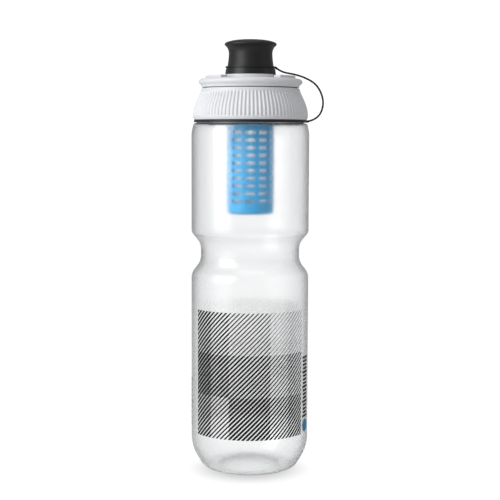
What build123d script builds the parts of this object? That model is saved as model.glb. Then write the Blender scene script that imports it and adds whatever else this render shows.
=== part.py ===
from build123d import *
import os
from math import hypot, pi, radians, tan

os.makedirs("parts", exist_ok=True)

# Millimetres. +Z is up, the bottle stands on z = 0, and the tether is on the +X side.

# ---- Driving dimensions: the bottle ----
BODY_R = 36.75            # 73.5 mm across, to fit a standard bicycle cage
WAIST_R = 30.9            # the groove that the cage's tab drops into
WALL = 1.2
HEEL_Z = 13.2             # where the wall would turn in without its round heel
HEEL_R = 28.9
PUSH_UP = 5.0             # height of the domed middle of the base
FOOT_R = 19.0             # inner edge of the flat foot ring
SHOULDER_Z = 216.9
SHOULDER_R = 35.5
NECK_R = 30.5
NECK_BORE_R = 28.3
NECK_TOP_Z = 231.5

# ---- The screw thread: one helix on the neck and one in the ring ----
PITCH = 5.0
THREAD_DEPTH = 1.6
THREAD_ROOT_WIDTH = 2.4
THREAD_CREST_WIDTH = 1.2
THREAD_Z = 221.0          # centre of the neck's thread where it starts
THREAD_RISE = 6.0

# ---- The screw ring ----
RING_BOTTOM_Z = 217.05
RING_SKIRT_Z = 218.9
RING_TOP_Z = 238.3
RING_R = 35.85            # widest, just above the skirt's edge
RING_TOP_R = 30.5
RING_THREAD_BORE_R = 32.45
RING_BORE_R = 30.9
RING_SHOULDER_Z = 234.2
GROOVES = 90
GROOVE_DEPTH = 0.75
GROOVE_WIDTH = 1.05

# ---- The cap ----
GASKET_T = 0.8
FLANGE_R = 30.4
FLANGE_TOP_Z = 234.1
BARREL_R = 27.2
BARREL_BORE_R = 25.2
DECK_Z = 243.8
DECK_T = 2.0
SOCKET_R = 13.0
SOCKET_BORE_R = 11.5
SOCKET_Z = 232.0
COLLAR_Z = 238.9
COLLAR_NECK_R = 30.26
COLLAR_R = 32.3
COLLAR_TOP_Z = 244.2
COLLAR_BUMP_Z = 246.0
BOSS_HALF_ANGLE = 54
BOSS_TOP_Z = 246.7
VENT_Y = 21.5             # the vent is behind the spout

# ---- The spout ----
CONE_TOP_Z = 250.4
SEAT_FLOOR_Z = 246.2
TUBE_R = 8.0
TUBE_BORE_R = 6.0
TUBE_TOP_Z = 256.0
PIN_R = 1.9
PIN_HEAD_R = 3.4
SPOUT_TRAVEL = 6.0
SPOUT_BOTTOM_Z = 246.3
SPOUT_LIP_Z = 247.4       # top of the inner lip that the tube's bead stops
BEAD_Z = 253.5            # the bead on the tube, with the seal's groove above it
BEAD_R = 8.55
SPOUT_BORE_R = 8.7
SPOUT_R = 10.4
SPOUT_TOP_Z = 258.4
MOUTH_R = 11.75

# ---- The dust cover and its tether ----
COVER_BOTTOM_Z = 250.5
COVER_BORE_R = 12.3
COVER_TOP_Z = 268.5
COVER_LIP_R = 16.15
LOOP_R = 15.6
LOOP_Z = 250.95           # the groove above the lip, which holds the tether's loop
LOOP_GROOVE_R = 13.95
CORD_D = 1.15
STUB_R = 0.72
CORD_ROUTE = [
    (16.48, 250.67), (19.6, 248.5), (26.4, 247.45), (33.0, 245.6), (40.1, 241.9),
    (44.0, 236.2), (45.6, 229.6), (44.0, 223.0), (39.9, 219.2), (36.4, 218.28),
]

# ---- The filter ----
FILTER_R = 14.6
FILTER_BORE_R = 13.2
FILTER_BOTTOM_Z = 160.5
FILTER_TOP_Z = 222.5
HEAD_TOP_Z = 226.0
SPIGOT_R = 7.0
SPIGOT_TOP_Z = 238.0
SLOT_ROWS = 10
SLOTS_ROUND = 10
SLOT_FIRST_Z = 168.8
SLOT_STEP_Z = 4.71
SLOT_HEIGHT = 1.9
SLOT_ANGLE = 27
FIBRE_R = 0.8


def turned(outline):
    """The closed outline, drawn as radius and height, turned about the axis."""
    face = make_face(Plane.XZ * outline)
    return revolve(face, Axis.Z, 360)


def turned_points(*points):
    """A turned piece with straight edges: each point is a radius and a height."""
    return turned(Polyline(*points, close=True))


def tube(outer_r, inner_r, low_z, high_z):
    """A plain ring or pipe about the axis."""
    height = high_z - low_z
    ring = Cylinder(outer_r, height, align=(Align.CENTER, Align.CENTER, Align.MIN))
    if inner_r:
        ring -= Cylinder(inner_r, height, align=(Align.CENTER, Align.CENTER, Align.MIN))
    return Pos(0, 0, low_z) * ring


def sector(outer_r, inner_r, low_z, high_z, middle, half_angle):
    """Part of a ring, centred on the angle middle, in degrees from +X."""
    arc = CenterArc((0, 0), outer_r, middle - half_angle, 2 * half_angle)
    back = CenterArc((0, 0), inner_r, middle - half_angle, 2 * half_angle)
    ends = [Line(arc @ 0, back @ 0), Line(arc @ 1, back @ 1)]
    face = make_face([arc, back, *ends])
    return Pos(0, 0, low_z) * extrude(face, high_z - low_z)


def o_ring(major_r, minor_r, z):
    return Pos(0, 0, z) * Torus(major_r, minor_r)


def rod(start, end, radius):
    """A round rod between two points of the XZ plane."""
    a = Vector(start[0], 0, start[1])
    b = Vector(end[0], 0, end[1])
    base = Plane(origin=a, z_dir=b - a)
    height = (b - a).length
    return base * Cylinder(radius, height, align=(Align.CENTER, Align.CENTER, Align.MIN))


def thread(root_r, depth, start_z, rise, start_angle):
    """A right-hand thread. A negative depth points it inwards, as in a nut."""
    path = Helix(pitch=PITCH, height=rise, radius=root_r)
    bite = -0.2 if depth > 0 else 0.2
    section = Polyline(
        (root_r + bite, -THREAD_ROOT_WIDTH / 2),
        (root_r + depth, -THREAD_CREST_WIDTH / 2),
        (root_r + depth, THREAD_CREST_WIDTH / 2),
        (root_r + bite, THREAD_ROOT_WIDTH / 2),
        close=True,
    )
    ridge = sweep(make_face(Plane.XZ * section), path=path, is_frenet=True)
    return Pos(0, 0, start_z) * Rot(0, 0, start_angle) * ridge


# ---- The bottle ----

def bottle_skin():
    """The outside of the bottle, from the middle of the base to the top of the neck."""
    base = TangentArc((0, PUSH_UP), (FOOT_R, 0), tangent=(1, 0))
    side = FilletPolyline(
        (FOOT_R, 0),
        (HEEL_R, 0),
        (BODY_R, HEEL_Z),
        (BODY_R, 123.3),
        (WAIST_R, 130.6),
        (WAIST_R, 141.9),
        (BODY_R, 148.8),
        (BODY_R, 211.0),
        (SHOULDER_R, SHOULDER_Z),
        (NECK_R, SHOULDER_Z),
        (NECK_R, NECK_TOP_Z),
        radius=[6.5, 25, 9, 10, 9, 5, 20, 2, 0.6],
    )
    return Wire([*base.edges(), *side.edges()])


def bottle_body():
    skin = bottle_skin()
    wall = skin.offset_2d(WALL, side=Side.LEFT)
    if wall.bounding_box().max.X > BODY_R + 0.1:
        wall = skin.offset_2d(WALL, side=Side.RIGHT)
    shell = turned(wall)
    liner = tube(NECK_R - 0.6, NECK_BORE_R, SHOULDER_Z - 1, NECK_TOP_Z)
    ridge = thread(NECK_R, THREAD_DEPTH, THREAD_Z, THREAD_RISE, 0)
    return shell + liner + ridge


# ---- The screw ring and its seal ----

def ring_flank():
    """The ring's curved outside, from the skirt's edge up to its small top."""
    edge = Line((34.3, RING_SKIRT_Z), (34.9, RING_SKIRT_Z))
    skirt = Spline((34.9, RING_SKIRT_Z), (RING_R, 221.9), tangents=[(1, 0.4), (0, 1)])
    flank = Spline(
        (RING_R, 221.9), (34.75, 227.8), (32.35, 233.5), (RING_TOP_R, RING_TOP_Z),
        tangents=[(0, 1), (-0.1, 1)],
    )
    return [edge, skirt, flank]


def ring_groove():
    """One upright groove, cut to a constant depth below the curved flank."""
    flank = ring_flank()[2]
    outside = flank.trim(0.04, 0.86)
    inside = Pos(-GROOVE_DEPTH, 0) * outside
    proud = Pos(0.6, 0) * outside
    outline = [inside, proud, Line(inside @ 0, proud @ 0), Line(inside @ 1, proud @ 1)]
    face = make_face(Plane.XZ * Curve(outline))
    return extrude(face, GROOVE_WIDTH / 2, both=True)


def screw_ring():
    outside = ring_flank()
    inside = Polyline(
        (RING_TOP_R, RING_TOP_Z),
        (BARREL_R + 0.3, RING_TOP_Z),
        (BARREL_R + 0.3, RING_SHOULDER_Z),
        (RING_BORE_R, RING_SHOULDER_Z),
        (RING_BORE_R, 229.7),
        (RING_THREAD_BORE_R, 229.0),
        (RING_THREAD_BORE_R, RING_BOTTOM_Z),
        (33.6, RING_BOTTOM_Z),
        (33.6, RING_BOTTOM_Z + 0.25),
        (33.1, RING_BOTTOM_Z + 0.25),
        (33.1, RING_SKIRT_Z),
        (34.3, RING_SKIRT_Z),
    )
    ring = turned(Curve([*outside, *inside.edges()]))
    ring -= PolarLocations(0, GROOVES) * ring_groove()
    # Half a pitch below the neck's thread, so the two run in each other's gaps.
    lead = 120
    start_z = THREAD_Z - PITCH / 2 + PITCH * lead / 360
    ridge = thread(RING_THREAD_BORE_R, -THREAD_DEPTH, start_z, THREAD_RISE - 0.5, lead)
    return ring + ridge


def neck_gasket():
    return tube(FLANGE_R, NECK_BORE_R + 0.1, NECK_TOP_Z, NECK_TOP_Z + GASKET_T)


# ---- The cap ----

def vent_holes():
    stem = Cylinder(1.25, 10)
    ports = PolarLocations(2.3, 6) * Cylinder(0.5, 10)
    return [Pos(0, VENT_Y, DECK_Z) * hole for hole in (stem, *ports)]


def cap_body():
    floor_z = NECK_TOP_Z + GASKET_T
    barrel = turned_points(
        (BARREL_BORE_R, floor_z),
        (FLANGE_R, floor_z),
        (FLANGE_R, FLANGE_TOP_Z),
        (BARREL_R, FLANGE_TOP_Z),
        (BARREL_R, DECK_Z),
        (SOCKET_BORE_R, DECK_Z),
        (SOCKET_BORE_R, SOCKET_Z),
        (SOCKET_R, SOCKET_Z),
        (SOCKET_R, DECK_Z - DECK_T),
        (BARREL_BORE_R, DECK_Z - DECK_T),
    )
    for middle in (-95, 85):
        barrel += sector(18.4, 16.3, DECK_Z - 0.5, BOSS_TOP_Z, middle, BOSS_HALF_ANGLE)
    for hole in vent_holes():
        barrel -= hole
    return barrel


def flared_collar():
    """The wide rim, pressed on the barrel: it keeps the screw ring from coming off."""
    flare = Spline(
        (COLLAR_NECK_R, COLLAR_Z), (30.5, 239.8), (31.65, 241.05), (COLLAR_R, 242.3),
        tangents=[(0.1, 1), (0, 1)],
    )
    rim = Spline(
        (COLLAR_R, 242.3), (31.65, 243.55), (30.4, COLLAR_TOP_Z),
        tangents=[(0, 1), (-1, 0.1)],
    )
    fit_r = BARREL_R + 0.05
    inside = Polyline((30.4, COLLAR_TOP_Z), (fit_r, COLLAR_TOP_Z), (fit_r, COLLAR_Z), (COLLAR_NECK_R, COLLAR_Z))
    collar = turned(Curve([*flare.edges(), *rim.edges(), *inside.edges()]))
    for middle in (0, 180):
        collar += sector(27.9, 22.0, DECK_Z, COLLAR_BUMP_Z, middle, 50)
    return collar


def vent_valve():
    """An umbrella valve: air goes in through the ports as water leaves."""
    umbrella = Cone(1.6, 3.3, 0.8, align=(Align.CENTER, Align.CENTER, Align.MAX))
    stem = Cylinder(1.2, 2.6, align=(Align.CENTER, Align.CENTER, Align.MIN))
    bulb = Pos(0, 0, 2.9) * Sphere(1.5)
    valve = Rot(180, 0, 0) * Pos(0, 0, 0.8) * umbrella + stem + bulb
    return Pos(0, VENT_Y, DECK_Z - DECK_T) * valve


# ---- The spout ----

def nozzle_seat():
    """The black cone round the spout, with the tube that the spout slides on."""
    seat = turned_points(
        (TUBE_BORE_R, 240.6),
        (SOCKET_BORE_R - 0.05, 240.6),
        (SOCKET_BORE_R - 0.05, DECK_Z),
        (16.15, DECK_Z),
        (15.4, CONE_TOP_Z),
        (13.2, CONE_TOP_Z),
        (13.2, SEAT_FLOOR_Z),
        (TUBE_R, SEAT_FLOOR_Z),
        (TUBE_R, BEAD_Z),
        (BEAD_R, BEAD_Z),
        (BEAD_R, BEAD_Z + 0.5),
        (TUBE_R - 0.7, BEAD_Z + 0.5),
        (TUBE_R - 0.7, BEAD_Z + 1.9),
        (BEAD_R, BEAD_Z + 1.9),
        (BEAD_R, TUBE_TOP_Z),
        (TUBE_BORE_R, TUBE_TOP_Z),
    )
    hub = tube(PIN_R + 1.3, PIN_R, 240.6, 244.0)
    spokes = []
    for angle in (90, 210, 330):
        spoke = Pos((PIN_R + TUBE_BORE_R + 1) / 2, 0, 241.6) * Box(TUBE_BORE_R - PIN_R, 1.4, 2.0)
        spokes.append(Rot(0, 0, angle) * spoke)
    for spoke in spokes:
        hub += spoke
    return seat + hub


def sealing_pin():
    return turned_points(
        (0, 240.6),
        (PIN_R, 240.6),
        (PIN_R, 254.8),
        (PIN_HEAD_R, 255.6),
        (PIN_HEAD_R, 258.0),
        (PIN_HEAD_R - 0.5, SPOUT_TOP_Z),
        (0, SPOUT_TOP_Z),
    )


def spout_core():
    return turned_points(
        (8.2, SPOUT_BOTTOM_Z),
        (12.0, SPOUT_BOTTOM_Z),
        (12.0, 248.6),
        (SPOUT_R, 249.2),
        (SPOUT_R, 256.5),
        (6.4, SPOUT_TOP_Z),
        (PIN_HEAD_R + 0.08, SPOUT_TOP_Z),
        (PIN_HEAD_R + 0.08, 256.4),
        (SPOUT_BORE_R, 256.4),
        (SPOUT_BORE_R, SPOUT_LIP_Z),
        (8.2, SPOUT_LIP_Z),
    )


def mouthpiece():
    """The soft rim over the spout's core, which the teeth pull."""
    outside = FilletPolyline(
        (SPOUT_R, 250.0), (MOUTH_R, 250.0), (10.9, 253.6), (MOUTH_R, 256.4), (8.6, 259.5), (4.2, 259.5),
        radius=[0.6, 3, 1.5, 1.5],
    )
    inside = Polyline((4.2, 259.5), (4.2, SPOUT_TOP_Z), (6.4, SPOUT_TOP_Z), (SPOUT_R, 256.5), (SPOUT_R, 250.0))
    return turned(Curve([*outside.edges(), *inside.edges()]))


# ---- The dust cover and its tether ----

def dust_cover():
    lip = Polyline(
        (COVER_BORE_R, COVER_BOTTOM_Z),
        (14.8, COVER_BOTTOM_Z),
        (14.8, LOOP_Z),
        (LOOP_GROOVE_R, LOOP_Z),
        (LOOP_GROOVE_R, LOOP_Z + 1.0),
        (14.35, LOOP_Z + 1.0),
    )
    waist = Spline(
        (14.35, LOOP_Z + 1.0), (13.9, 255.2), (13.6, 258.2), (13.6, 260.8), (14.2, 262.8), (15.3, 264.3),
        tangents=[(-0.12, 1), (1, 0.75)],
    )
    rim = Spline(
        (15.3, 264.3), (COVER_LIP_R, 265.5), (15.1, 266.75),
        tangents=[(1, 0.75), (-1, 0.42)],
    )
    crown = Spline(
        (15.1, 266.75), (13.2, 267.4), (7.5, 268.3), (0, COVER_TOP_Z),
        tangents=[(-1, 0.42), (-1, 0)],
    )
    cavity = FilletPolyline(
        (0, COVER_TOP_Z - 2.1), (COVER_BORE_R, COVER_TOP_Z - 2.1), (COVER_BORE_R, COVER_BOTTOM_Z),
        radius=2.0,
    )
    axis = Line((0, COVER_TOP_Z), (0, COVER_TOP_Z - 2.1))
    return turned(Curve([*lip.edges(), waist, rim, crown, axis, *cavity.edges()]))


def tether_cover_loop():
    """The tether's upper loop, in the groove above the dust cover's lip."""
    stub = rod((15.25, 251.53), CORD_ROUTE[0], STUB_R)
    return tube(LOOP_R, LOOP_GROOVE_R + 0.05, LOOP_Z + 0.05, LOOP_Z + 0.95) + stub


def tether_neck_ring():
    """The tether's lower ring, loose in the groove below the screw ring's skirt."""
    end = Vector(*CORD_ROUTE[-1])
    before = Vector(*CORD_ROUTE[-2])
    root = end + (end - before).normalized() * 1.6
    stub = rod((root.X, root.Y), (end.X, end.Y), STUB_R)
    return tube(35.2, 33.2, RING_BOTTOM_Z + 0.35, RING_SKIRT_Z - 0.05) + stub


def tether_cord():
    """Straight runs joined by tangent arcs, as large as the two runs allow."""
    points = [Vector(x, 0, z) for x, z in CORD_ROUTE]
    radii = []
    for before, point, after in zip(points, points[1:], points[2:]):
        half_turn = radians((point - before).get_angle(after - point)) / 2
        shorter = min((point - before).length, (after - point).length)
        radii.append(0.45 * shorter / tan(half_turn))
    print("cord arc radii, mm:", [round(radius, 1) for radius in radii])
    path = FilletPolyline(*points, radius=radii)
    start = Plane(origin=path @ 0, z_dir=path % 0)
    cord = sweep(start * Circle(CORD_D / 2), path=path)
    expected = pi * (CORD_D / 2) ** 2 * path.length
    print("cord length, mm:", round(path.length, 1), "volume ratio:", round(cord.volume / expected, 4))
    return cord


# ---- The filter ----

def filter_adapter():
    """The coupling between the cap's socket and the filter's spigot."""
    return turned_points(
        (8.6, 228.0),
        (12.2, 228.0),
        (12.2, SOCKET_Z - 0.2),
        (SOCKET_BORE_R - 0.06, SOCKET_Z - 0.2),
        (SOCKET_BORE_R - 0.06, 234.6),
        (10.0, 234.6),
        (10.0, 236.4),
        (SOCKET_BORE_R - 0.06, 236.4),
        (SOCKET_BORE_R - 0.06, 240.4),
        (6.2, 240.4),
        (6.2, 238.8),
        (8.6, 238.8),
    )


def filter_head():
    return turned_points(
        (5.0, FILTER_TOP_Z),
        (FILTER_R, FILTER_TOP_Z),
        (FILTER_R, 225.2),
        (FILTER_R - 0.8, HEAD_TOP_Z),
        (SPIGOT_R, HEAD_TOP_Z),
        (SPIGOT_R, 231.2),
        (SPIGOT_R - 0.6, 231.2),
        (SPIGOT_R - 0.6, 233.0),
        (SPIGOT_R, 233.0),
        (SPIGOT_R, 234.8),
        (SPIGOT_R - 0.6, 234.8),
        (SPIGOT_R - 0.6, 236.6),
        (SPIGOT_R, 236.6),
        (SPIGOT_R, SPIGOT_TOP_Z),
        (5.0, SPIGOT_TOP_Z),
    )


def head_orings():
    return [o_ring(7.35, 0.85, 232.1), o_ring(7.35, 0.85, 235.7)]


def filter_housing():
    shell = tube(FILTER_R, FILTER_BORE_R, FILTER_BOTTOM_Z + 3, FILTER_TOP_Z)
    slot = sector(FILTER_R + 1, FILTER_BORE_R - 1, 0, SLOT_HEIGHT, 0, SLOT_ANGLE / 2)
    cuts = []
    for row in range(SLOT_ROWS):
        low_z = SLOT_FIRST_Z + row * SLOT_STEP_Z - SLOT_HEIGHT / 2
        for column in range(SLOTS_ROUND):
            cuts.append(Pos(0, 0, low_z) * Rot(0, 0, 360 * column / SLOTS_ROUND - 90) * slot)
    return shell - cuts


def filter_end_cap():
    cap = FilletPolyline(
        (0, FILTER_BOTTOM_Z), (FILTER_R, FILTER_BOTTOM_Z), (FILTER_R, FILTER_BOTTOM_Z + 3),
        radius=2.0,
    )
    inside = Polyline(
        (FILTER_R, FILTER_BOTTOM_Z + 3),
        (FILTER_BORE_R - 0.05, FILTER_BOTTOM_Z + 3),
        (FILTER_BORE_R - 0.05, FILTER_BOTTOM_Z + 6),
        (FILTER_BORE_R - 1.2, FILTER_BOTTOM_Z + 6),
        (FILTER_BORE_R - 1.2, FILTER_BOTTOM_Z + 1.6),
        (0, FILTER_BOTTOM_Z + 1.6),
        (0, FILTER_BOTTOM_Z),
    )
    return turned(Curve([*cap.edges(), *inside.edges()]))


def fibre_places():
    """The half width and the place in depth of each U-shaped fibre."""
    for row in range(-3, 4):
        y = 3.2 * row
        for nest in range(1, 5):
            half = 2.4 * nest
            if hypot(half, y) < 11.6:
                yield half, y


POTTING_BOTTOM_Z = 215.0
POTTING_TOP_Z = 221.0


def fibre_bundle():
    """Hollow fibres, folded into a U with both ends open above the potting."""
    fibres = []
    for half, y in fibre_places():
        bend_z = 169.0 + 10.5 - half
        left = Line((-half, y, POTTING_TOP_Z), (-half, y, bend_z + half))
        bend = ThreePointArc((-half, y, bend_z + half), (0, y, bend_z), (half, y, bend_z + half))
        right = Line((half, y, bend_z + half), (half, y, POTTING_TOP_Z))
        path = Wire([left, bend, right])
        start = Plane(origin=(-half, y, POTTING_TOP_Z), z_dir=(0, 0, -1))
        fibres.append(sweep(start * Circle(FIBRE_R), path=path))
    return fibres


def potting_plug():
    plug = tube(FILTER_BORE_R - 0.05, 0, POTTING_BOTTOM_Z, POTTING_TOP_Z)
    holes = []
    for half, y in fibre_places():
        for x in (-half, half):
            holes.append(Pos(x, y, (POTTING_BOTTOM_Z + POTTING_TOP_Z) / 2) * Cylinder(FIBRE_R, 10))
    return plug - holes


PARTS = {
    "bottle_body": bottle_body,
    "screw_ring": screw_ring,
    "neck_gasket": neck_gasket,
    "cap_body": cap_body,
    "flared_collar": flared_collar,
    "vent_valve": vent_valve,
    "nozzle_seat": nozzle_seat,
    "seat_oring": lambda: o_ring(8.0, 0.66, BEAD_Z + 1.2),
    "sealing_pin": sealing_pin,
    "spout_core": spout_core,
    "mouthpiece": mouthpiece,
    "dust_cover": dust_cover,
    "tether_cover_loop": tether_cover_loop,
    "tether_cord": tether_cord,
    "tether_neck_ring": tether_neck_ring,
    "filter_adapter": filter_adapter,
    "adapter_oring": lambda: o_ring(10.75, 0.72, 235.5),
    "filter_head": filter_head,
    "head_orings": head_orings,
    "filter_housing": filter_housing,
    "filter_end_cap": filter_end_cap,
    "fibre_bundle": fibre_bundle,
    "potting_plug": potting_plug,
}

for name, make in PARTS.items():
    made = make()
    solids = ShapeList()
    for shape in made if isinstance(made, list) else [made]:
        solids += shape.solids()
    export_step(Compound(label=name, children=list(solids)), f"parts/{name}.step")
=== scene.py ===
from math import ceil, cos, floor, pi, radians, sin, tau

import bmesh
import bpy
import numpy as np
from mathutils import Euler, Matrix, Vector


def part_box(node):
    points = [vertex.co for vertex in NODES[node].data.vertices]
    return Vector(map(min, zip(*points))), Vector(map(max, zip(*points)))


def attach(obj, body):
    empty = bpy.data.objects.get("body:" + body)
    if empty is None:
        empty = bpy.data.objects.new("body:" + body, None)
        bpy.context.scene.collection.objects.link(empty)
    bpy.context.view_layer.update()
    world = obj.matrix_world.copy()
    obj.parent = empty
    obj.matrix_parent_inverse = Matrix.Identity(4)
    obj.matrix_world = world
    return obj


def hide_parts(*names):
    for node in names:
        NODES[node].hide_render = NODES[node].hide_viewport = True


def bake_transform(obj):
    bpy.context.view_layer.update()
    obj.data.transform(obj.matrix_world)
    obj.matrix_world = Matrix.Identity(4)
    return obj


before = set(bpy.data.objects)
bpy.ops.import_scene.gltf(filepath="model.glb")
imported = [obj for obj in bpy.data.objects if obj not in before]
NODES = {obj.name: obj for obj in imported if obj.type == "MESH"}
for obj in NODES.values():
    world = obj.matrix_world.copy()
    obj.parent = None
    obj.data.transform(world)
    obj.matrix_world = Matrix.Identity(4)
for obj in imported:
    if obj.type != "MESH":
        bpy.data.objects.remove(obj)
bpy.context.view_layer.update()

# Metres, in the CAD model's frame: +Z is up, the bottle stands on z = 0, and -Y is the front.
MM = 0.001
BODY_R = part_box("bottle_body")[1].x
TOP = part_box("dust_cover")[1].z


# ---------------------------------------------------------------- camera, light and floor

LENS_MM, SENSOR_MM = 91.34, 36
CAMERA_PLACE = (0, -795.3 * MM, 208.2 * MM)
CAMERA_DOWN, CAMERA_ROLL = radians(5.08), radians(0.19)
# The white seen behind and through the bottle, on the table too, and the dimmer studio that lights it.
BACKDROP, AMBIENT = 1.06, 0.38
# How much less a ray sees of the backdrop for each time it was mirrored.
MIRROR_LOSS = 0.5
# Name, azimuth and elevation in degrees, distance and size in metres, and watts.
LIGHTS = (
    ("key", -55, 20, 1.2, (0.85, 1.0), 11.5),
    ("top", 10, 80, 1.0, (0.7, 0.7), 2),
    ("fill", 75, 15, 1.4, (0.3, 0.9), 0.6),
)
TABLE_R = 1.2
# The painted contact shadow on the table: its middle, its inner and outer radius, and the white at each.
SHADE_MIDDLE = (0, -9 * MM, 0)
SHADE_RADII = (8 * MM, 44 * MM)
SHADE_WHITES = (0.5, 1.03)


def add_camera():
    data = bpy.data.cameras.new("camera")
    data.lens = LENS_MM
    data.sensor_width = SENSOR_MM
    camera = bpy.data.objects.new("camera", data)
    camera.location = CAMERA_PLACE
    aim = Euler((pi / 2 - CAMERA_DOWN, 0, 0)).to_matrix()
    camera.rotation_euler = (aim @ Matrix.Rotation(CAMERA_ROLL, 3, "Z")).to_euler()
    bpy.context.scene.collection.objects.link(camera)
    bpy.context.scene.camera = camera


def add_light(name, azimuth, elevation, distance, size, watts):
    """A softbox that faces the bottle. Azimuth 0 is behind the camera and 90 is at +X."""
    data = bpy.data.lights.new(name, "AREA")
    data.shape = "RECTANGLE"
    data.size, data.size_y = size
    data.energy = watts
    light = bpy.data.objects.new(name, data)
    turn, rise = radians(azimuth), radians(elevation)
    place = Vector((sin(turn) * cos(rise), -cos(turn) * cos(rise), sin(rise))) * distance
    middle = Vector((0, 0, TOP / 2))
    light.location = middle + place
    light.rotation_euler = place.to_track_quat("Z", "Y").to_euler()
    bpy.context.scene.collection.objects.link(light)


def straight_sight(tree):
    """1 for a ray that comes to the eye directly or through the plastic, less for a mirrored one."""
    path = tree.nodes.new("ShaderNodeLightPath")
    straight = tree.nodes.new("ShaderNodeMath")
    straight.operation = "MAXIMUM"
    less = tree.nodes.new("ShaderNodeMath")
    less.operation = "MULTIPLY_ADD"
    less.use_clamp = True
    less.inputs[1].default_value = -MIRROR_LOSS
    tree.links.new(path.outputs["Is Camera Ray"], straight.inputs[0])
    tree.links.new(path.outputs["Is Transmission Ray"], straight.inputs[1])
    tree.links.new(path.outputs["Glossy Depth"], less.inputs[0])
    tree.links.new(straight.outputs[0], less.inputs[2])
    return less.outputs[0]


def add_world():
    """Plain white behind and through the bottle, and a dimmer studio that lights it."""
    world = bpy.data.worlds.new("studio")
    world.use_nodes = True
    tree = world.node_tree
    tree.nodes.clear()
    mix = tree.nodes.new("ShaderNodeMixShader")
    out = tree.nodes.new("ShaderNodeOutputWorld")
    tree.links.new(straight_sight(tree), mix.inputs[0])
    for socket, strength in ((1, AMBIENT), (2, BACKDROP)):
        node = tree.nodes.new("ShaderNodeBackground")
        node.inputs["Color"].default_value = (1, 1, 1, 1)
        node.inputs["Strength"].default_value = strength
        tree.links.new(node.outputs[0], mix.inputs[socket])
    tree.links.new(mix.outputs[0], out.inputs[0])
    bpy.context.scene.world = world


def add_floor():
    """A round white table."""
    mesh = bpy.data.meshes.new("floor")
    shape = bmesh.new()
    bmesh.ops.create_circle(shape, cap_ends=True, segments=96, radius=TABLE_R)
    shape.to_mesh(mesh)
    shape.free()
    mesh.materials.append(floor_white())
    table = bpy.data.objects.new("floor", mesh)
    bpy.context.scene.collection.objects.link(table)


def floor_white():
    """White with a painted contact shadow: it darkens only close to the bottle, and a little more towards
    the front.
    """
    material = new_material("floor_white")
    tree = material.node_tree
    links = tree.links
    shader = shader_of(material)
    shader.inputs["Base Color"].default_value = (0.85, 0.85, 0.85, 1)
    shader.inputs["Roughness"].default_value = 0.9
    shader.inputs["Specular IOR Level"].default_value = 0.0
    place = add_node(material, "ShaderNodeTexCoord")
    reach = add_node(material, "ShaderNodeVectorMath")
    reach.operation = "DISTANCE"
    reach.inputs[1].default_value = SHADE_MIDDLE
    shade = add_node(material, "ShaderNodeMapRange")
    shade.interpolation_type = "SMOOTHSTEP"
    shade.inputs["From Min"].default_value, shade.inputs["From Max"].default_value = SHADE_RADII
    shade.inputs["To Min"].default_value, shade.inputs["To Max"].default_value = SHADE_WHITES
    through = add_node(material, "ShaderNodeMix", A=BACKDROP)
    path = add_node(material, "ShaderNodeLightPath")
    glow = add_node(material, "ShaderNodeEmission")
    mix = add_node(material, "ShaderNodeMixShader")
    links.new(place.outputs["Object"], reach.inputs[0])
    links.new(reach.outputs["Value"], shade.inputs["Value"])
    links.new(path.outputs["Is Camera Ray"], through.inputs["Factor"])
    links.new(shade.outputs["Result"], through.inputs["B"])
    links.new(through.outputs["Result"], glow.inputs["Strength"])
    links.new(straight_sight(tree), mix.inputs[0])
    links.new(shader.outputs[0], mix.inputs[1])
    links.new(glow.outputs[0], mix.inputs[2])
    links.new(mix.outputs[0], tree.nodes["Material Output"].inputs["Surface"])
    return material


# ---------------------------------------------------------------- materials

# The sizes of the slow waves and the fine grain on moulded pieces and on the frosted wall.
MOULD_WAVES, MOULD_GRAIN = 12 * MM, 0.35 * MM
FROST_WAVES, FROST_GRAIN = 30 * MM, 0.9 * MM
# How deep light goes into soft white plastic.
SOFT_DEPTH = 1.2 * MM


def new_material(name):
    material = bpy.data.materials.new(name)
    material.use_nodes = True
    return material


def shader_of(material):
    return material.node_tree.nodes["Principled BSDF"]


def add_node(material, kind, **inputs):
    node = material.node_tree.nodes.new(kind)
    for socket, value in inputs.items():
        node.inputs[socket.replace("_", " ")].default_value = value
    return node


def noise(material, size, stretch=(1, 1, 1)):
    """A noise pattern fixed to the object, with features of about the given size in metres."""
    place = add_node(material, "ShaderNodeTexCoord")
    scale = add_node(material, "ShaderNodeMapping")
    scale.inputs["Scale"].default_value = stretch
    pattern = add_node(material, "ShaderNodeTexNoise", Scale=1 / size, Detail=2.0)
    links = material.node_tree.links
    links.new(place.outputs["Object"], scale.inputs["Vector"])
    links.new(scale.outputs["Vector"], pattern.inputs["Vector"])
    return pattern.outputs["Fac"]


def spread(material, value, low, high):
    """The value, from 0 to 1, spread from low to high."""
    node = add_node(material, "ShaderNodeMapRange")
    node.inputs["To Min"].default_value = low
    node.inputs["To Max"].default_value = high
    node.inputs["From Min"].default_value = 0.3
    node.inputs["From Max"].default_value = 0.7
    material.node_tree.links.new(value, node.inputs["Value"])
    return node.outputs["Result"]


def bump(material, layers):
    """One normal from several layers, each a pattern, a height in metres and a strength."""
    links = material.node_tree.links
    normal = None
    for pattern, height, strength in layers:
        node = add_node(material, "ShaderNodeBump", Strength=strength, Distance=height)
        links.new(pattern, node.inputs["Height"])
        if normal:
            links.new(normal, node.inputs["Normal"])
        normal = node.outputs["Normal"]
    return normal


def blend_colours(material, fac, low, high):
    node = material.node_tree.nodes.new("ShaderNodeMix")
    node.data_type = "RGBA"
    node.inputs["A"].default_value = (*low, 1)
    node.inputs["B"].default_value = (*high, 1)
    material.node_tree.links.new(fac, node.inputs["Factor"])
    return node.outputs["Result"]


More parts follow.
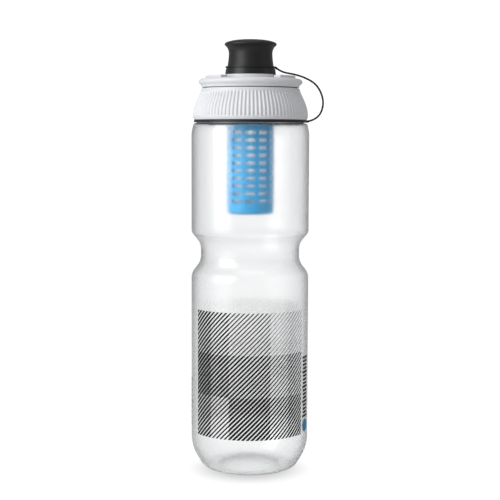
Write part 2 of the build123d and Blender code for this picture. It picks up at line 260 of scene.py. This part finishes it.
def moulded(name, low, high, rough, soft=0.0, spec=0.5, glow=0.0):
    """Moulded plastic or silicone: fine grain, slow waves, and a little change of tone."""
    material = new_material(name)
    links = material.node_tree.links
    shader = shader_of(material)
    slow = noise(material, MOULD_WAVES)
    fine = noise(material, MOULD_GRAIN)
    links.new(blend_colours(material, slow, low, high), shader.inputs["Base Color"])
    links.new(spread(material, fine, rough[0], rough[1]), shader.inputs["Roughness"])
    links.new(bump(material, [(slow, 0.1 * MM, 0.25), (fine, 0.012 * MM, 0.35)]), shader.inputs["Normal"])
    shader.inputs["Specular IOR Level"].default_value = spec
    # Where glow is given, the piece gives off a little light in its lighter colour: a painted glow, as it
    # is no lamp.
    if glow:
        shader.inputs["Emission Color"].default_value = (*high, 1)
        shader.inputs["Emission Strength"].default_value = glow
    if soft:
        shader.inputs["Subsurface Weight"].default_value = soft
        shader.inputs["Subsurface Radius"].default_value = (SOFT_DEPTH, SOFT_DEPTH, SOFT_DEPTH)
        shader.inputs["Subsurface Scale"].default_value = 1.0
    return material


def frosted(name):
    """Frosted polyethylene: it blurs what is behind it, and is greyer where it is seen edge on."""
    material = new_material(name)
    tree = material.node_tree
    links = tree.links
    shader = shader_of(material)
    grain = noise(material, FROST_GRAIN)
    waves = noise(material, FROST_WAVES, (1, 1, 0.35))
    edge = add_node(material, "ShaderNodeLayerWeight", Blend=0.5)
    tint = blend_colours(material, edge.outputs["Facing"], (0.96, 0.965, 0.967), (0.81, 0.82, 0.83))
    links.new(tint, shader.inputs["Base Color"])
    shader.inputs["IOR"].default_value = 1.45
    shader.inputs["Transmission Weight"].default_value = 0.995
    shader.inputs["Specular IOR Level"].default_value = 0.42
    links.new(spread(material, grain, 0.16, 0.20), shader.inputs["Roughness"])
    normal = bump(material, [(waves, 0.6 * MM, 0.22), (grain, 0.002 * MM, 0.2)])
    links.new(normal, shader.inputs["Normal"])
    path = add_node(material, "ShaderNodeLightPath")
    clear = add_node(material, "ShaderNodeBsdfTransparent", Color=(0.8, 0.8, 0.8, 1))
    mix = add_node(material, "ShaderNodeMixShader")
    out = tree.nodes["Material Output"]
    links.new(path.outputs["Is Shadow Ray"], mix.inputs[0])
    links.new(shader.outputs[0], mix.inputs[1])
    links.new(clear.outputs[0], mix.inputs[2])
    links.new(mix.outputs[0], out.inputs["Surface"])
    return material


def paint(node, material):
    """Gives a CAD node its finished material."""
    slots = NODES[node].data.materials
    slots.clear()
    slots.append(material)


# ---------------------------------------------------------------- mesh helpers

def add_mesh(name, points, faces, material, body, smooth=True):
    """A new piece that rides on the body, if one is named."""
    mesh = bpy.data.meshes.new(name)
    mesh.from_pydata([tuple(point) for point in points], [], faces)
    mesh.validate()
    mesh.materials.append(material)
    for polygon in mesh.polygons:
        polygon.use_smooth = smooth
    piece = bpy.data.objects.new(name, mesh)
    bpy.context.scene.collection.objects.link(piece)
    if body:
        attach(piece, body)
    return piece


# ---------------------------------------------------------------- the tether's cord

CORD_D = 1.15 * MM
CORD_ROUTE = [
    (16.48, 250.67), (19.6, 248.5), (26.4, 247.45), (33.0, 245.6), (40.1, 241.9),
    (44.0, 236.2), (45.6, 229.6), (44.0, 223.0), (39.9, 219.2), (36.4, 218.28),
]


def cord_line():
    """Points along the smooth line that the cord follows."""
    data = bpy.data.curves.new("cord_line", "CURVE")
    data.dimensions = "3D"
    data.resolution_u = 12
    spline = data.splines.new("NURBS")
    spline.points.add(len(CORD_ROUTE) - 1)
    for point, (x, z) in zip(spline.points, CORD_ROUTE):
        point.co = (x * MM, 0, z * MM, 1)
    spline.order_u = 3
    spline.use_endpoint_u = True
    line = bpy.data.objects.new("cord_line", data)
    bpy.context.scene.collection.objects.link(line)
    bpy.context.view_layer.update()
    mesh = bpy.data.meshes.new_from_object(line)
    points = [vertex.co.copy() for vertex in mesh.vertices]
    bpy.data.objects.remove(line)
    return points


def tube_along(points, radius, sides=20):
    """A round tube along points in the XZ plane, closed at both ends."""
    corners = []
    for index, point in enumerate(points):
        before = points[max(index - 1, 0)]
        after = points[min(index + 1, len(points) - 1)]
        along = (after - before).normalized()
        across = Vector((0, 1, 0))
        up = along.cross(across)
        for side in range(sides):
            turn = tau * side / sides
            corners.append(point + (across * cos(turn) + up * sin(turn)) * radius)
    faces = []
    for ring in range(len(points) - 1):
        for side in range(sides):
            a = ring * sides + side
            b = ring * sides + (side + 1) % sides
            faces.append((a, b, b + sides, a + sides))
    faces.append(tuple(range(sides)))
    faces.append(tuple(reversed(range(len(corners) - sides, len(corners)))))
    return corners, faces


def add_cord(material):
    line = cord_line()
    corners, faces = tube_along(line, CORD_D / 2)
    cord = add_mesh("tether_line", corners, faces, material, None)
    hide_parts("tether_cord")
    length = sum((b - a).length for a, b in zip(line, line[1:]))
    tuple(line[0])
    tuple(line[0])
    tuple(line[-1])
    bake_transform(cord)


# ---------------------------------------------------------------- the screw ring

RIBS = 90
RIB_DEPTH = 0.7 * MM
RIB_LOW, RIB_HIGH = 221.1 * MM, 236.9 * MM
RIB_STEPS = 10
# The height over which a rib is cut in at its foot, and fades out at its head.
RIB_FOOT, RIB_HEAD = 0.4 * MM, 2.2 * MM
# How much of a wave's width the groove between two ribs takes: higher is squarer.
GROOVE_SQUARE = 1.35
# The thread in the ring's bore: an inward helix, half a pitch from the neck's. It has THREAD_STEPS
# steps a turn, and tapers over 1 / THREAD_TAPER of its length at each end.
THREAD_PITCH, THREAD_RISE = 5.0 * MM, 5.5 * MM
THREAD_FOOT = 218.5 * MM + THREAD_PITCH / 3
THREAD_LEAD = radians(120)
THREAD_STEPS = 120
THREAD_TAPER = 12
THREAD_ROOT_R, THREAD_CREST_R = 32.6 * MM, 30.85 * MM
THREAD_ROOT_HALF, THREAD_CREST_HALF = 1.2 * MM, 0.6 * MM
# Radius and height, in millimetres: the curved flank is bent smoothly through its points.
RING_FLANK = [
    (34.9, 218.9), (35.3, 219.5), (35.7, 220.6), (35.85, 221.9), (35.68, 223.9), (35.3, 225.9),
    (34.75, 227.8), (34.03, 229.7), (33.2, 231.6), (32.35, 233.5), (31.45, 235.4), (30.9, 236.8),
    (30.55, 238.0),
]
RING_INSIDE = [
    (30.3, 238.3), (27.6, 238.3), (27.5, 238.2), (27.5, 234.3), (27.6, 234.2), (30.9, 234.2),
    (30.9, 229.7), (32.45, 229.0), (32.45, 217.15), (32.55, 217.05), (33.5, 217.05),
    (33.6, 217.15), (33.5, 217.3), (33.1, 217.4), (33.1, 218.8), (33.2, 218.9), (34.3, 218.9),
    (34.75, 218.85),
]


def smooth_path(points, steps):
    """A Catmull-Rom line through the points, with the given steps between each two."""
    points = [np.array(point, float) for point in points]
    ends = [2 * points[0] - points[1], *points, 2 * points[-1] - points[-2]]
    found = []
    for a, b, c, d in zip(ends, ends[1:], ends[2:], ends[3:]):
        for step in range(steps):
            t = step / steps
            found.append(0.5 * (2 * b + (c - a) * t + (2 * a - 5 * b + 4 * c - d) * t * t
                                + (3 * b - a - 3 * c + d) * t ** 3))
    found.append(points[-1])
    return found


def rib_share(z):
    """How deep the ribs are cut at a height: square ends at the foot, a slow fade at the top."""
    foot = min(max((z - RIB_LOW) / RIB_FOOT, 0), 1)
    head = min(max((RIB_HIGH - z) / RIB_HEAD, 0), 1)
    return foot * head * head * (3 - 2 * head)


def add_screw_ring(material):
    """The ring with its rounded ribs, and the thread inside it."""
    around = RIBS * RIB_STEPS
    flank = smooth_path(RING_FLANK, 5)
    outline = flank + [np.array(point) for point in RING_INSIDE]
    points, faces = [], []
    for index, (r, z) in enumerate(outline):
        cut = rib_share(z * MM) * RIB_DEPTH if index < len(flank) else 0
        for side in range(around):
            turn = tau * side / around
            groove = 0.5 + 0.5 * sin(GROOVE_SQUARE * cos(RIBS * turn)) / sin(GROOVE_SQUARE)
            radius = r * MM - cut * groove
            points.append((radius * sin(turn), -radius * cos(turn), z * MM))
    rings = len(outline)
    for ring in range(rings):
        low, high = ring * around, (ring + 1) % rings * around
        for side in range(around):
            after = (side + 1) % around
            faces.append((low + side, low + after, high + after, high + side))
    ring_thread(points, faces)
    ring = add_mesh("ribbed_ring", points, faces, material, "screw_ring")
    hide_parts("screw_ring")
    ring.data.set_sharp_from_angle(angle=radians(50))


def ring_thread(points, faces):
    """Adds the thread's helix, from its blunt start to its blunt end."""
    steps = ceil(THREAD_RISE / THREAD_PITCH * THREAD_STEPS)
    section = (
        (THREAD_ROOT_R, -THREAD_ROOT_HALF), (THREAD_CREST_R, -THREAD_CREST_HALF),
        (THREAD_CREST_R, THREAD_CREST_HALF), (THREAD_ROOT_R, THREAD_ROOT_HALF),
    )
    first = len(points)
    for step in range(steps + 1):
        share = step / steps
        turn = THREAD_LEAD + tau * THREAD_RISE / THREAD_PITCH * share
        taper = min(1, THREAD_TAPER * share, THREAD_TAPER * (1 - share))
        for radius, z in section:
            inward = THREAD_ROOT_R + (radius - THREAD_ROOT_R) * taper
            points.append((inward * cos(turn), inward * sin(turn), THREAD_FOOT + THREAD_RISE * share + z))
    for step in range(steps):
        a = first + step * 4
        for k in range(4):
            b = (k + 1) % 4
            faces.append((a + k, a + b, a + 4 + b, a + 4 + k))
    faces.append((first + 3, first + 2, first + 1, first))
    last = first + steps * 4
    faces.append((last, last + 1, last + 2, last + 3))


# ---------------------------------------------------------------- the printed pattern

PANEL_LOW, PANEL_HIGH = 24.1 * MM, 102.2 * MM
PANEL_HALF_ANGLE = radians(60.3)
STRIPE_STEP = 2.847 * MM
INK_LIFT, INK = 0.03 * MM, 0.05 * MM
INK_COLUMN = 1.2 * MM
# The back's lines are guessed from what shows through the wall, and are thinner.
BACK_BOLDNESS = 0.45
# The share of the step that is inked, in each tile of the panel, from the top left.
TILES = (
    (0.64, 0.50, 0.36, 0.35, 0.15, 0.18),
    (0.80, 0.66, 0.55, 0.55, 0.37, 0.48),
    (0.66, 0.46, 0.68, 0.68, 0.53, 0.64),
)


def clip(polygon, inside, cross):
    """One side's cut of a flat convex polygon."""
    kept = []
    for a, b in zip(polygon, polygon[1:] + polygon[:1]):
        if inside(a):
            kept.append(a)
        if inside(a) != inside(b):
            kept.append(cross(a, b))
    return kept


def cut_to_box(polygon, low, high):
    """The part of a flat convex polygon inside an upright box."""
    for axis in (0, 1):
        for limit, sign in ((low[axis], 1), (high[axis], -1)):
            def inside(p, axis=axis, limit=limit, sign=sign):
                return sign * (p[axis] - limit) >= 0

            def cross(a, b, axis=axis, limit=limit):
                share = (limit - a[axis]) / (b[axis] - a[axis])
                return tuple(a[k] + (b[k] - a[k]) * share for k in (0, 1))

            polygon = clip(polygon, inside, cross)
            if len(polygon) < 3:
                return []
    return polygon


def wrap(u, z, facing, lift):
    """A flat point at arc length u from the facing angle, laid on the bottle's wall."""
    angle = facing + u / BODY_R
    radius = BODY_R + lift
    return Vector((radius * sin(angle), -radius * cos(angle), z))


def ink_piece(name, polygons, facing, material):
    """Flat polygons laid round the wall as a thin layer of ink, in narrow upright columns."""
    points, faces = [], []
    for polygon in polygons:
        left = min(p[0] for p in polygon)
        right = max(p[0] for p in polygon)
        count = max(1, ceil((right - left) / INK_COLUMN))
        for index in range(count):
            low = (left + (right - left) * index / count, -1)
            high = (left + (right - left) * (index + 1) / count, 1)
            part = cut_to_box(polygon, low, high)
            if len(part) < 3:
                continue
            first = len(points)
            for lift in (INK_LIFT, INK_LIFT + INK):
                points += [wrap(u, z, facing, lift) for u, z in part]
            n = len(part)
            faces.append(tuple(range(first + n, first + 2 * n)))
            faces.append(tuple(reversed(range(first, first + n))))
            for k in range(n):
                after = (k + 1) % n
                faces.append((first + k, first + after, first + n + after, first + n + k))
    mesh = add_mesh(name, points, faces, material, "bottle", smooth=False).data
    shape = bmesh.new()
    shape.from_mesh(mesh)
    bmesh.ops.remove_doubles(shape, verts=shape.verts, dist=1e-7)
    bmesh.ops.recalc_face_normals(shape, faces=shape.faces)
    shape.to_mesh(mesh)
    shape.free()


def stripes(boldness):
    """The panel's slanted lines: each keeps its place, and its weight changes at each tile."""
    half = PANEL_HALF_ANGLE * BODY_R
    tile_u = 2 * half / len(TILES[0])
    tile_z = (PANEL_HIGH - PANEL_LOW) / len(TILES)
    found = []
    for row, weights in enumerate(TILES):
        top = PANEL_HIGH - row * tile_z
        for column, weight in enumerate(weights):
            left = -half + column * tile_u
            low, high = (left, top - tile_z), (left + tile_u, top)
            width = boldness * weight * STRIPE_STEP / 2
            first = floor((low[0] - high[1]) / STRIPE_STEP) - 1
            last = ceil((high[0] - low[1]) / STRIPE_STEP) + 1
            for line in range(first, last + 1):
                foot = line * STRIPE_STEP
                slanted = [
                    (foot - width + low[1], low[1]),
                    (foot + width + low[1], low[1]),
                    (foot + width + high[1], high[1]),
                    (foot - width + high[1], high[1]),
                ]
                part = cut_to_box(slanted, low, high)
                if part:
                    found.append(part)
    return found


def add_print(ink):
    ink_piece("print_front", stripes(1.0), 0.0, ink)
    ink_piece("print_back", stripes(BACK_BOLDNESS), pi, ink)


# Plain marks on the sides: lowest and highest bar, step, and the widths of the short and long bars.
RIGHT_MARKS, LEFT_MARKS = radians(70), radians(-84)
RIGHT_SCALE = (34.8 * MM, 71.8 * MM, 2.31 * MM, 6.8 * MM, 8.6 * MM)
LEFT_SCALE = (28.0 * MM, 56.0 * MM, 3.5 * MM, 4.0 * MM, 6.5 * MM)
BAR_SHARE = 0.58
DOT_R, DOT_Z, DOT_SIDES = 4.1 * MM, 28.7 * MM, 28


def scale_bars(low, high, step, short, long):
    """A plain upright scale of level bars, every fourth one longer."""
    thick = step * BAR_SHARE / 2
    found = []
    for index in range(round((high - low) / step) + 1):
        half = (short if index % 4 else long) / 2
        z = low + index * step
        found.append([(-half, z - thick), (half, z - thick), (half, z + thick), (-half, z + thick)])
    return found


def add_side_marks(ink, pale, blue):
    """A scale over a round dot at the right, and a pale scale at the left."""
    ink_piece("side_scale_right", scale_bars(*RIGHT_SCALE), RIGHT_MARKS, ink)
    turns = [tau * k / DOT_SIDES for k in range(DOT_SIDES)]
    dot = [(DOT_R * cos(turn), DOT_Z + DOT_R * sin(turn)) for turn in turns]
    ink_piece("side_dot", [dot], RIGHT_MARKS, blue)
    ink_piece("side_scale_left", scale_bars(*LEFT_SCALE), LEFT_MARKS, pale)


# ---------------------------------------------------------------- the whole scene

def finish_nodes():
    """Gives every CAD node its material, and returns the two that new pieces share."""
    grey = moulded("cap_grey", (0.655, 0.665, 0.69), (0.695, 0.705, 0.73), (0.36, 0.48), soft=0.15)
    black = moulded("black_silicone", (0.008, 0.008, 0.009), (0.012, 0.012, 0.013), (0.40, 0.50), spec=0.34)
    seat = moulded("black_seat", (0.008, 0.008, 0.010), (0.013, 0.013, 0.015), (0.34, 0.44), spec=0.35)
    blue = moulded("filter_blue", (0.004, 0.275, 0.57), (0.008, 0.32, 0.62), (0.34, 0.42), spec=0.4)
    white = moulded("spout_white", (0.78, 0.79, 0.80), (0.83, 0.84, 0.85), (0.30, 0.42), soft=0.2)
    # The fibres are given a faint painted glow, so that they look lit inside the filter's slots.
    fibre = moulded("fibre_white", (0.90, 0.91, 0.93), (0.95, 0.96, 0.98), (0.6, 0.8), glow=0.10)
    resin = moulded("potting_resin", (0.62, 0.60, 0.50), (0.70, 0.68, 0.58), (0.25, 0.4))
    clear = moulded("clear_silicone", (0.72, 0.73, 0.73), (0.80, 0.81, 0.81), (0.35, 0.5), soft=0.3)
    finishes = {
        grey: ("cap_body", "flared_collar"),
        black: ("dust_cover", "tether_cover_loop", "tether_neck_ring", "mouthpiece",
                "seat_oring", "adapter_oring", "head_orings"),
        seat: ("nozzle_seat", "sealing_pin", "filter_adapter"),
        blue: ("filter_head", "filter_housing", "filter_end_cap"),
        white: ("spout_core",),
        fibre: ("fibre_bundle",),
        resin: ("potting_plug",),
        clear: ("neck_gasket", "vent_valve"),
        frosted("bottle_frosted"): ("bottle_body",),
    }
    for material, names in finishes.items():
        for name in names:
            paint(name, material)
    return grey, black


add_camera()
add_world()
for light in LIGHTS:
    add_light(*light)
add_floor()
grey, black = finish_nodes()
add_cord(black)
add_screw_ring(grey)
ink = moulded("ink_black", (0.009, 0.009, 0.0095), (0.013, 0.013, 0.0135), (0.5, 0.65), spec=0.12)
pale = moulded("ink_grey", (0.30, 0.30, 0.31), (0.36, 0.36, 0.37), (0.5, 0.65), spec=0.2)
dot_blue = moulded("ink_blue", (0.02, 0.22, 0.42), (0.03, 0.26, 0.48), (0.5, 0.65), spec=0.2)
add_print(ink)
add_side_marks(ink, pale, dot_blue)

scene = bpy.context.scene
scene.view_settings.view_transform = "Standard"
scene.cycles.use_denoising = True
scene.cycles.transparent_max_bounces = 16
scene.cycles.transmission_bounces = 16
scene.cycles.max_bounces = 16
